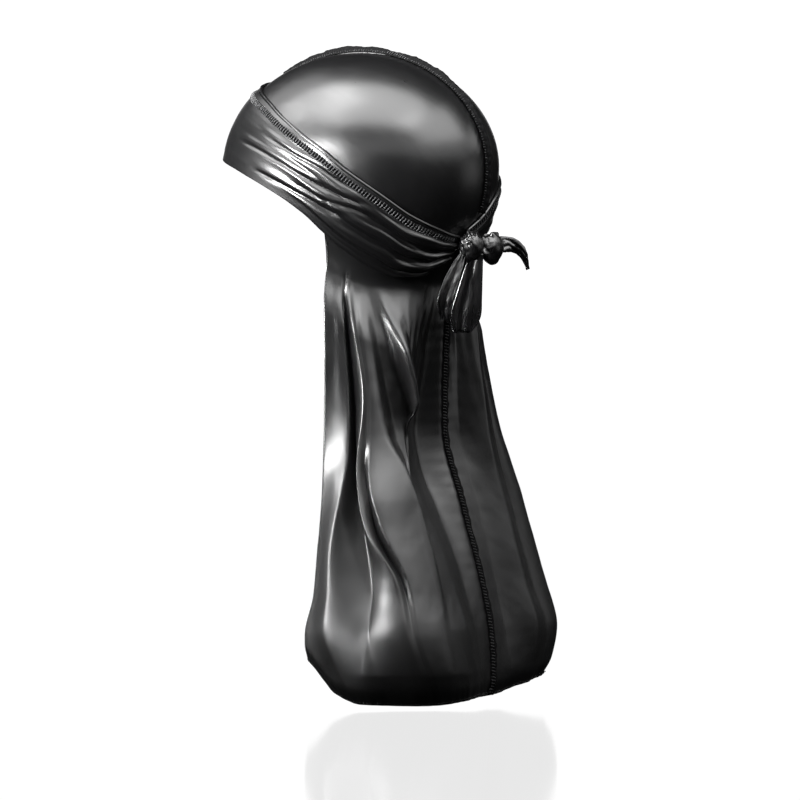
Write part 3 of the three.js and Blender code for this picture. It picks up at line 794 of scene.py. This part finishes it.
def band_point(turn, across):
    height = mix(edge_at("top", turn), edge_at("bottom", turn), across)
    return on_head(turn, height, band_out(turn, across))


BAND_TURNS = np.linspace(*BAND_ENDS, 420)


def brow_band():
    turn, across = grid(BAND_TURNS, np.linspace(0, 1, 96))
    return wall("brow_band_satin", band_point(turn, across), BAND_THICK, GATHERED_SATIN)


def brow_seam_shade_tape():
    """The dull strip of raw cloth that shows between the band's stitches, put there as painted shade: it
    stands for the shadow that falls between them.
    """
    low, high = SEAM_SHADE_TAPE["across"] - SEAM_SHADE_TAPE["half"], SEAM_SHADE_TAPE["across"] + SEAM_SHADE_TAPE["half"]
    turn, across = grid(BAND_TURNS, np.linspace(low, high, 6))
    points = moved_out(band_point(turn, across), SEAM_SHADE_TAPE["out"])
    return wall("brow_seam_shade_tape", points, SEAM_SHADE_TAPE["thick"], RAW_CLOTH)


def brow_piping():
    """The rolled edge along the top of the band."""
    out = PIPING["out"] + 0.15 * fine_folds(BAND_TURNS / 6, BAND_TURNS * 0, 41)
    centre = on_head(BAND_TURNS, edge_at("top", BAND_TURNS) + PIPING["above"], out)
    return tube("brow_band_piping", centre, PIPING["radius"], PIPING["cloth_radius"], SATIN)


def rings_joined(rings, around):
    """Faces between rings of points, each ring with as many points around."""
    faces = []
    for i in range(rings - 1):
        for j in range(around):
            k = (j + 1) % around
            faces.append((i * around + j, i * around + k, (i + 1) * around + k, (i + 1) * around + j))
    return faces


def tube(name, centre, radius, cloth_radius, finish):
    """A closed rod along a line of points."""
    turns = np.linspace(0, 2 * math.pi, 10)[:-1]
    ahead = unit(np.gradient(centre, axis=0))
    side = unit(np.cross(ahead, np.array([0.02, 0.03, 1.0])))
    up = np.cross(side, ahead)
    circle = side[:, None] * np.cos(turns)[None, :, None] + up[:, None] * np.sin(turns)[None, :, None]
    points = (centre[:, None] + circle * radius).reshape(-1, 3)
    n, m = len(centre), len(turns)
    faces = rings_joined(n, m)
    faces += [tuple(range(m - 1, -1, -1)), tuple((n - 1) * m + j for j in range(m))]
    along = lengths_along(centre[:, None], 0)[:, 0]
    flat = np.stack(grid(along, turns * cloth_radius), -1)[..., ::-1].reshape(-1, 2) * MM
    return cloth_piece(name, points, faces, flat, finish)


# The tail


def tail_cut(height):
    """The tail's plan at a height: its corners, their shares of the way to the seam, and its width."""
    at = {name: curve(height) for name, curve in TAIL_CUT.items()}
    xs = np.stack([at["edge_x"], at["side_x"], at["lobe_x"], np.zeros_like(height)])
    ys = np.stack([at["edge_y"], at["side_y"], at["lobe_y"], at["seam_y"]])
    steps = np.hypot(np.diff(xs, axis=0), np.diff(ys, axis=0))
    along = np.concatenate([np.zeros((1, *height.shape)), np.cumsum(steps, axis=0)])
    return xs, ys, along / along[-1], along[-1]


def tail_facing(xs, ys, keys, share):
    """The level way out of the tail's plan."""
    low, high = np.clip(share - 0.01, 0, 1), np.clip(share + 0.01, 0, 1)
    towards_x = row_through(keys, ys, high) - row_through(keys, ys, low)
    towards_y = row_through(keys, xs, low) - row_through(keys, xs, high)
    return unit(np.stack([towards_x, towards_y], -1))


def fold_tracks(folds):
    """Two curves for each fold, its place and how far it stands out, with a flat edge on either side."""
    rows = [(AT_EDGE, FLAT_FOLD), *folds.values(), (AT_SEAM, FLAT_FOLD)]
    return [(through(FOLD_HEIGHTS, at), through(FOLD_HEIGHTS, out)) for at, out in rows]


FOLD_TRACKS = {side: fold_tracks(folds) for side, folds in FOLDS.items()}


def fold_at(side, column, height):
    """Where a column of the cloth lies, and how far its fold stands out."""
    tracks = FOLD_TRACKS[side]
    first = np.minimum(np.floor(column).astype(int), len(tracks) - 2)
    past = column - first
    share, out = 0, 0
    for k in range(len(tracks) - 1):
        here = first == k
        places = mix(tracks[k][0](height), tracks[k + 1][0](height), past)
        depths = mix(tracks[k][1](height), tracks[k + 1][1](height), mix(past, smooth(past), 0.5))
        share, out = np.where(here, places, share), np.where(here, depths, out)
    return share, out


def tail_points(side, across, down):
    """Points of a tail panel. across: 0 at its front edge, 1 at the seam. down: 1 at the hem."""
    column = across * (len(FOLD_TRACKS[side]) - 1)
    share, _ = fold_at(side, column, mix(FOLD_HEIGHTS[0], FOLD_HEIGHTS[-1], down))
    angle = mix(TAIL_FRONT_ANGLE, 180, share)
    start = crown_edge(side, angle) - FLARE["tuck_gap"]
    band_bottom = band_edge(side, "bottom", angle)
    bottom = band_bottom - FLARE["start"]
    hem = HEM_LINE[side](share)
    loose_share = np.clip((down - FLARE["hidden"]) / (1 - FLARE["hidden"]), 0, 1)
    tucked = mix(start, bottom, down / FLARE["hidden"])
    hanging = mix(bottom, hem, loose_share ** FLARE["crowding"])
    height = np.where(down < FLARE["hidden"], tucked, hanging)
    below = band_bottom - height
    loose = ramp(below, FLARE["start"], FLARE["length"])
    freed = ramp(below, FLARE["start"], FLARE["folds_length"])
    tight = on_head(angle, height, PANEL_OUT)
    xs, ys, keys, width = tail_cut(height)
    facing = tail_facing(xs, ys, keys, share)
    tuck = HEM_TUCK["depth"] * smooth(1 + (hem - height) / HEM_TUCK["length"]) ** 2
    _, depth = fold_at(side, column, height)
    out = depth * freed - tuck + freed * tail_creases(side, share, height, width, below, hem)
    if side == "left":
        out = out - hollow(share, height)
    free_x = row_through(keys, xs, share) + facing[..., 0] * out
    free_y = row_through(keys, ys, share) + facing[..., 1] * out
    point = mix(tight, np.stack([free_x, free_y, height], -1), loose[..., None])
    point[..., 0] = SIDES[side] * (np.maximum(point[..., 0], 0) + SEAM_HALF_GAP)
    return point


def hollow(share, height):
    """How deep the left panel falls back between its front folds and the seam, around the bar."""
    front = ramp(share, HOLLOW_LINE["front"](height), HOLLOW_SIDES["front"])
    seam = smooth((1 - share) / HOLLOW_SIDES["seam"])
    bar = BAR_LINE["out"](height) * bell((share - BAR_LINE["share"](height)) / BAR_LINE["half"](height))
    return HOLLOW_LINE["depth"](height) * front * seam - bar


TAIL_SEEDS = {"left": 50, "right": 60}


def tail_creases(side, share, height, width, below, hem):
    """Fine gathers under the band, puckers at the seam and hem, and soft creases."""
    seed = TAIL_SEEDS[side]
    across = share * width
    band = puckers("band", below, across, 1.5 * cloth_noise(height / 40, share * 3, seed))
    seam = puckers("seam", (1 - share) * width, height, 2 * cloth_noise(height / 14, share, seed + 1))
    edge = puckers("hem", height - hem, across, 2 * cloth_noise(across / 15, share, seed + 2))
    long_creases = 0.12 * fine_folds(across / 13 + height / 160, height / 75, seed + 3)
    soft = 0.3 * fine_folds(across / 22, height / 26, seed + 6)
    return band + seam + edge + long_creases + soft


def tail_panel(side):
    across, down = grid(np.linspace(0, 1, 180), np.linspace(0, 1, 230))
    return wall(f"{side}_tail_satin", tail_points(side, across, down), SATIN_THICK, HANGING_SATIN)


def tail_ridge():
    """The seam allowance between the two tail panels, turned up like the crown's."""
    down, rise = grid(np.linspace(*TAIL_RIDGE["shares"], 260), np.linspace(0, 1, 5))
    root = tail_points("left", np.ones_like(down), down)
    height = TAIL_RIDGE["height"] + 0.4 * fine_folds(down * 60, rise * 0, 71)
    lean = 0.5 * rise * rise * height + 0.3 * rise * ripple(down * TAIL_ARC, 6)
    points = np.stack([-lean, root[..., 1] + TAIL_RIDGE["foot"] + rise * height, root[..., 2]], -1)
    return wall("tail_seam_ridge", points, TAIL_RIDGE["thick"], RAW_CLOTH)


# The tie


def bunch(name, centre, radii, pleats, depth, seed):
    """A ball of gathered cloth with folds that wind over it."""
    rings, around = BUNCH_STEPS
    lat, lon = grid(np.linspace(0, math.pi, rings), np.linspace(0, 2 * math.pi, around + 1)[:-1])
    x, y, z = np.sin(lat) * np.cos(lon), np.cos(lat), np.sin(lat) * np.sin(lon)
    turn = np.arctan2(z, x) + y * 1.5
    level = 1 - y**2
    wind = cloth_noise(4 + 2 * x + y, 4 + 2 * z, seed)
    crumple = cloth_noise(9 + 5 * x + 3 * y, 9 + 5 * z - 2 * y, seed + 20)
    fold = 1 + depth * np.cos(pleats * turn + 1.6 * wind) * level
    fold = fold + 0.05 * level * np.cos(pleats * 2 * turn + 4 * wind) + 0.07 * level * crumple
    points = np.stack([x * radii[0] * fold, y * radii[1], z * radii[2] * fold], -1) + np.array(centre)
    return ball(name, points)


def ball(name, points):
    """A closed ball from rings of points, the first and last ring each drawn together to one point."""
    rings, around = points.shape[0] - 2, points.shape[1]
    corners = np.concatenate([points[1:-1].reshape(-1, 3), points[0, :1], points[-1, :1]])
    faces = rings_joined(rings, around)
    first, last = rings * around, rings * around + 1
    end = (rings - 1) * around
    for j in range(around):
        k = (j + 1) % around
        faces += [(first, k, j), (last, end + j, end + k)]
    shares = np.stack(grid(np.arange(rings) / (rings + 2), np.arange(around) / around), -1)
    flat = np.concatenate([shares.reshape(-1, 2), [[0, 0], [1, 0]]]) * BUNCH_LENGTH
    return cloth_piece(name, corners, faces, flat, SATIN)


def strap(name, stations, steps, seed, ragged=0.0):
    """A strap that follows its stations, with creases along it and a ragged cut."""
    table = np.array(stations, float)
    keys = np.linspace(0, 1, len(table))
    u, v = grid(np.linspace(0, 1, steps), np.linspace(-1, 1, 22))
    track = {column: through(keys, table[:, i])(u) for i, column in enumerate(STRAP_COLUMNS)}
    centre = np.stack([track["x"], track["y"], track["z"]], -1)
    side = unit(np.stack([track["across_x"], track["across_y"], track["across_z"]], -1))
    ahead = np.gradient(centre, axis=0)
    face = unit(np.cross(ahead, side))
    creases = STRAP_CREASE * np.cos(v * 7.5 + 2 * cloth_noise(u * 4, v, seed))
    out = creases + 0.3 * fine_folds(u * 9, v * 3, seed + 1) - track["curl"] * v * v
    points = centre + side * (v * track["half"])[..., None] + face * out[..., None]
    tear = ragged * ramp(u, 0.88, 0.12) * fine_folds(v * 5, u * 0, seed + 2)
    return wall(name, points + unit(ahead) * tear[..., None], STRAP_THICK, SATIN)


# Stitches


# The least and greatest size of one stitch among its neighbours.
STITCH_SIZES = (0.88, 1.1)
CROWN_STITCH = dict(width=3.2, rise=1.2, drop=2.6, slant=1.3, thread_radius=0.24)
BROW_STITCH = dict(width=4.2, rise=0.6, drop=0.2, slant=0.5, thread_radius=0.4)
TAIL_STITCH = dict(width=2.8, rise=0.9, drop=2.0, slant=1.2, thread_radius=0.22)
EDGE_STITCH = dict(width=1.7, rise=0.5, drop=2.4, slant=1.2, thread_radius=0.21)
EDGE_SEEDS = {"left": 14, "right": 15}
STITCH_SPACING = dict(crown=1.9, brow=2.3, tail=2.1, edge=2.3)


def stitch_tree():
    """Thread loops over an edge, one at each given point."""
    tree = bpy.data.node_groups.new("overlock_stitches", "GeometryNodeTree")
    sockets = {"Geometry": "Geometry", "Seed": "Int", "Thread": "Material"}
    sockets.update({name: "Float" for name in ("Width", "Rise", "Drop", "Slant", "Thread radius")})
    for name, kind in sockets.items():
        tree.interface.new_socket(name, in_out="INPUT", socket_type="NodeSocket" + kind)
    tree.interface.new_socket("Geometry", in_out="OUTPUT", socket_type="NodeSocketGeometry")
    given = add_node(tree, "NodeGroupInput").outputs

    def add(kind, inputs, out=0, **settings):
        return add_node(tree, kind, inputs, **settings).outputs[out]

    def scaled(socket, factor):
        return add("ShaderNodeMath", {0: socket, 1: factor}, operation="MULTIPLY")

    def corner(ahead, aside, up):
        return add("ShaderNodeCombineXYZ", {"X": ahead, "Y": aside, "Z": up})

    def named(name):
        return add("GeometryNodeInputNamedAttribute", {"Name": name}, "Attribute", data_type="FLOAT_VECTOR")

    low = scaled(given["Drop"], -1)
    start = corner(scaled(given["Slant"], -0.5), scaled(given["Width"], -0.5), low)
    end = corner(scaled(given["Slant"], 0.5), scaled(given["Width"], 0.5), low)
    top = corner(0.0, 0.0, scaled(given["Rise"], 2))
    line = {"Resolution": 6, "Start": start, "Middle": top, "End": end}
    loop = add("GeometryNodeCurveQuadraticBezier", line)
    round_thread = {"Resolution": 5, "Radius": given["Thread radius"]}
    section = add("GeometryNodeCurvePrimitiveCircle", round_thread, mode="RADIUS")
    thread = add("GeometryNodeCurveToMesh", {"Curve": loop, "Profile Curve": section, "Fill Caps": True})
    axes = {"Primary Axis": named("up"), "Secondary Axis": named("ahead")}
    turn = add("FunctionNodeAxesToRotation", axes, primary_axis="Z", secondary_axis="X")
    sizes = {2: STITCH_SIZES[0], 3: STITCH_SIZES[1], "Seed": given["Seed"]}
    size = add("FunctionNodeRandomValue", sizes, 1, data_type="FLOAT")
    each = {"Points": given["Geometry"], "Instance": thread, "Rotation": turn, "Scale": size}
    placed = add("GeometryNodeInstanceOnPoints", each)
    real = add("GeometryNodeRealizeInstances", {"Geometry": placed})
    coloured = add("GeometryNodeSetMaterial", {"Geometry": real, "Material": given["Thread"]})
    add_node(tree, "NodeGroupOutput", {0: coloured})
    return tree


STITCHES = stitch_tree()


def stitches(name, centre, ahead, up, seed, **sizes):
    """A row of stitches at points in mm, with the way ahead and the way up at each."""
    points = bpy.data.meshes.new(name + "_points")
    points.from_pydata(in_part_frame(centre), [], [])
    for key, vectors in (("ahead", ahead), ("up", up)):
        layer = points.attributes.new(key, "FLOAT_VECTOR", "POINT")
        layer.data.foreach_set("vector", unit(vectors).ravel())
    holder = in_scene(name + "_holder", points)
    modifier = holder.modifiers.new("stitches", "NODES")
    modifier.node_group = STITCHES
    values = {key.replace("_", " ").capitalize(): value * MM for key, value in sizes.items()}
    values.update({"Seed": seed, "Thread": THREAD})
    for item in STITCHES.interface.items_tree:
        if item.item_type == "SOCKET" and item.in_out == "INPUT" and item.name in values:
            modifier[item.identifier] = values[item.name]
    holder.update_tag()
    graph = bpy.context.evaluated_depsgraph_get()
    mesh = bpy.data.meshes.new_from_object(holder.evaluated_get(graph))
    mesh.name = name
    bpy.data.objects.remove(holder)
    mesh.materials.clear()
    mesh.materials.append(THREAD)
    mesh.shade_smooth()
    return in_scene(name, mesh)


def evenly(points, spacing, *vectors):
    """Points at even steps along a line, the way ahead at each, and the vectors given with the line."""
    along = lengths_along(points[:, None], 0)[:, 0]
    at = np.arange(spacing / 2, along[-1], spacing)

    def sampled(values, places):
        return np.stack([np.interp(places, along, values[:, k]) for k in range(3)], -1)

    ahead = unit(sampled(points, at + 0.5) - sampled(points, at - 0.5))
    return [sampled(points, at), ahead, *(sampled(each, at) for each in vectors)]


def crown_seam_stitches():
    share = np.linspace(*CROWN_RIDGE["shares"], 400)
    line = along_ray(seam_direction(share), PANEL_OUT + 3.6)
    line[:, 0] -= 1.6
    centre, ahead = evenly(line, STITCH_SPACING["crown"])
    up = head_normal(centre) + np.array([-0.35, 0, 0])
    return stitches("crown_seam_stitches", centre, ahead, up, 11, **CROWN_STITCH)


def brow_seam_stitches():
    turns = np.linspace(BAND_ENDS[0] + 3, BAND_ENDS[1] - 3, 900)
    line = band_point(turns, np.full(900, SEAM_SHADE_TAPE["across"]))
    centre, ahead = evenly(line, STITCH_SPACING["brow"])
    up = head_normal(centre)
    return stitches("brow_seam_stitches", centre + up * 0.75, ahead, up, 12, **BROW_STITCH)


def tail_seam_stitches():
    down = np.linspace(0.07, 0.995, 500)
    line = tail_points("left", np.ones_like(down), down)
    line[:, 0] = -0.7
    line[:, 1] += 3.4
    centre, ahead = evenly(line, STITCH_SPACING["tail"])
    up = np.tile([-0.3, 1.0, 0.0], (len(centre), 1))
    return stitches("tail_seam_stitches", centre, ahead, up, 13, **TAIL_STITCH)


def tail_edge_stitches(side):
    """Overlock along the panel's front edge and hem."""
    down = np.linspace(0.06, 1, 500)
    across = np.linspace(0, 1, 500)
    front = tail_points(side, np.zeros_like(down), down)
    inside = tail_points(side, np.full_like(down, 0.02), down)
    hem = tail_points(side, across, np.ones_like(across))
    above = tail_points(side, across, np.full_like(across, 0.985))
    line = np.concatenate([front, hem[2:]])
    outwards = unit(np.concatenate([front - inside, (hem - above)[2:]]))
    centre, ahead, up = evenly(line, STITCH_SPACING["edge"], outwards)
    up = unit(up)
    name = f"{side}_tail_edge_stitches"
    return stitches(name, centre - up * 0.2, ahead, up, EDGE_SEEDS[side], **EDGE_STITCH)


# Building the wrap


def build_wrap():
    for side in ("left", "right"):
        crown = dress(crown_panel(side), "satin", f"crown_{side}")
        stitched = dress(tail_edge_stitches(side), "thread")
        tail = dress(tail_panel(side), "satin", f"tail_{side}")
    band = dress(brow_band(), "satin", "brow_band")
    rows = dress(brow_seam_stitches(), "thread")
    # A dark strip of raw cloth as painted shade between the brow stitches.
    shade_tape = dress(brow_seam_shade_tape(), "satin")
    dress(brow_piping(), "thread", "brow_seam")
    dress(crown_ridge(), "thread", "crown_seam")
    dress(crown_seam_stitches(), "thread")
    dress(tail_ridge(), "thread", "tail_seam")
    dress(tail_seam_stitches(), "thread")
    dress(bunch("knot_satin", seed=81, **KNOT), "satin", "knot")
    dress(bunch("side_loop_satin", seed=82, **SIDE_LOOP), "satin", "bow_loop_side")
    loop = dress(strap("hanging_loop_satin", HANGING_LOOP, 150, 83), "satin", "bow_loop_hanging")
    side_end = dress(strap("side_strap_end_satin", SIDE_END, 90, 84), "satin", "strap_end_side")
    hanging_end = strap("hanging_strap_end_satin", HANGING_END, 110, 85, ragged=2.2)
    dress(hanging_end, "satin", "strap_end_hanging")


# The studio

WHITE = (1, 1, 1, 1)
PHOTO_PIXELS = 800
CAMERA = dict(turn=32, rise=2, distance=8.0, pixels_per_mm=1.465, middle_across=26.6, middle_height=-159)
FLOOR_HEIGHT = CAD_BOX[0][2] - 0.0015
FLOOR_MIRROR = 0.2
FLOOR_HALF = 6.0
SHADOW_LIGHT = 0.006


def direction(turn, rise):
    """A way out of the wrap: turn is degrees from +X towards +Y."""
    a, e = math.radians(turn), math.radians(rise)
    return Vector((math.cos(a) * math.cos(e), math.sin(a) * math.cos(e), math.sin(e)))


def aim(thing, target):
    thing.rotation_euler = (target - thing.location).to_track_quat("-Z", "Y").to_euler()


def make_camera():
    data = bpy.data.cameras.new("camera")
    data.sensor_width = 36
    frame_width = PHOTO_PIXELS / CAMERA["pixels_per_mm"] * MM
    data.lens = data.sensor_width * CAMERA["distance"] / frame_width
    data.clip_end = 40
    camera = in_scene("camera", data)
    turn = math.radians(CAMERA["turn"])
    across = Vector((-math.sin(turn), math.cos(turn), 0)) * CAMERA["middle_across"] * MM
    target = across + Vector((0, 0, (CAMERA["middle_height"] - HEAD["rise"]) * MM))
    camera.location = target + direction(CAMERA["turn"], CAMERA["rise"]) * CAMERA["distance"]
    aim(camera, target)
    bpy.context.scene.camera = camera


LIGHT_DISTANCE = 1.5
LIGHTS = [
    ("name", "turn", "rise", "width", "height", "watts", "aim_height", "spread"),
    ("overhead", 20, 72, 1.7, 1.3, 40, -120, 180),
    ("left_top", -50, 62, 0.9, 0.8, 12, -20, 180),
    ("left", -60, 40, 0.7, 0.5, 7, -60, 180),
    ("left_front", -92, 45, 0.7, 0.8, 3, -120, 180),
    ("front", -30, 45, 0.9, 0.4, 4, -120, 180),
    ("brow", -27, 9, 0.6, 0.4, 5.5, 0, 40),
    ("low_left", -60, -8, 0.6, 0.4, 1.5, -120, 180),
    ("middle", 35, 25, 1.3, 0.35, 1.5, -120, 180),
    ("right", 92, 42, 1.5, 0.9, 17, -20, 180),
    ("low_right", 120, 0, 0.6, 0.4, 0.5, -120, 180),
    ("right_side", 88, 20, 1.5, 0.4, 2, -120, 180),
    ("far_right", 138, 22, 0.8, 0.35, 1.4, -120, 180),
]


def make_lights():
    for row in LIGHTS[1:]:
        light = dict(zip(LIGHTS[0], row))
        name = light["name"] + "_softbox"
        data = bpy.data.lights.new(name, "AREA")
        data.shape = "RECTANGLE"
        data.size, data.size_y = light["width"], light["height"]
        data.energy = light["watts"]
        data.spread = math.radians(light["spread"])
        lamp = in_scene(name, data)
        target = Vector((0, 0, light["aim_height"] * MM))
        lamp.location = target + direction(light["turn"], light["rise"]) * LIGHT_DISTANCE
        aim(lamp, target)


def stage_card(name, corners):
    mesh = bpy.data.meshes.new(name)
    mesh.from_pydata(corners, [], [(0, 1, 2, 3)])
    card = in_scene(name, mesh)
    return card


def glowing(name):
    """A white surface that gives its own light."""
    tree = Finish(name)
    tree.shade(
        Base_Color=WHITE,
        Roughness=0.9,
        Specular_IOR_Level=0,
        Emission_Color=WHITE,
        Emission_Strength=1.0,
    )
    return tree.material


def make_floor():
    """A pale polished floor that mirrors the wrap faintly."""
    signs = ((-1, -1), (1, -1), (1, 1), (-1, 1))
    corners = [(x * FLOOR_HALF, y * FLOOR_HALF, FLOOR_HEIGHT) for x, y in signs]
    floor = stage_card("floor", corners)
    tree = Finish("pale_floor")
    glow = tree.add("ShaderNodeEmission", {"Color": WHITE, "Strength": 1.0})
    mirror = tree.add("ShaderNodeBsdfGlossy", {"Color": WHITE, "Roughness": 0.08})
    mixed = tree.add("ShaderNodeMixShader", {"Fac": FLOOR_MIRROR, 1: glow, 2: mirror})
    surface = next(n for n in tree.nodes if n.type == "OUTPUT_MATERIAL").inputs["Surface"]
    tree.links.new(mixed.socket, surface)
    tree.nodes.remove(tree.shader)
    floor.data.materials.append(tree.material)
    floor.visible_glossy = False
    floor.visible_diffuse = False
    floor.visible_shadow = False


def make_backdrop():
    """The white wall behind, wide enough for all that the floor mirrors."""
    far = direction(CAMERA["turn"] + 180, 0) * FLOOR_HALF
    aside = direction(CAMERA["turn"] + 90, 0) * 1.4
    low, high = Vector((0, 0, FLOOR_HEIGHT - 0.3)), Vector((0, 0, FLOOR_HEIGHT + 1.2))
    corners = [far - aside + low, far + aside + low, far + aside + high, far - aside + high]
    backdrop = stage_card("backdrop", [tuple(c) for c in corners])
    backdrop.data.materials.append(glowing("white_backdrop"))
    backdrop.visible_diffuse = False


def make_world():
    """White where the camera looks past the wrap, and nearly black as a light."""
    world = bpy.data.worlds.new("studio")
    bpy.context.scene.world = world
    world.use_nodes = True
    tree = world.node_tree
    shade = next(n for n in tree.nodes if n.type == "BACKGROUND")
    rays = add_node(tree, "ShaderNodeLightPath")
    levels = {"Value": rays.outputs["Is Camera Ray"], "To Min": SHADOW_LIGHT, "To Max": 1.0}
    level = add_node(tree, "ShaderNodeMapRange", levels)
    feed(tree, shade, {"Strength": level.outputs["Result"], "Color": WHITE})
    bpy.context.scene.view_settings.view_transform = "Standard"


make_camera()
build_wrap()
make_lights()
make_floor()
make_backdrop()
make_world()
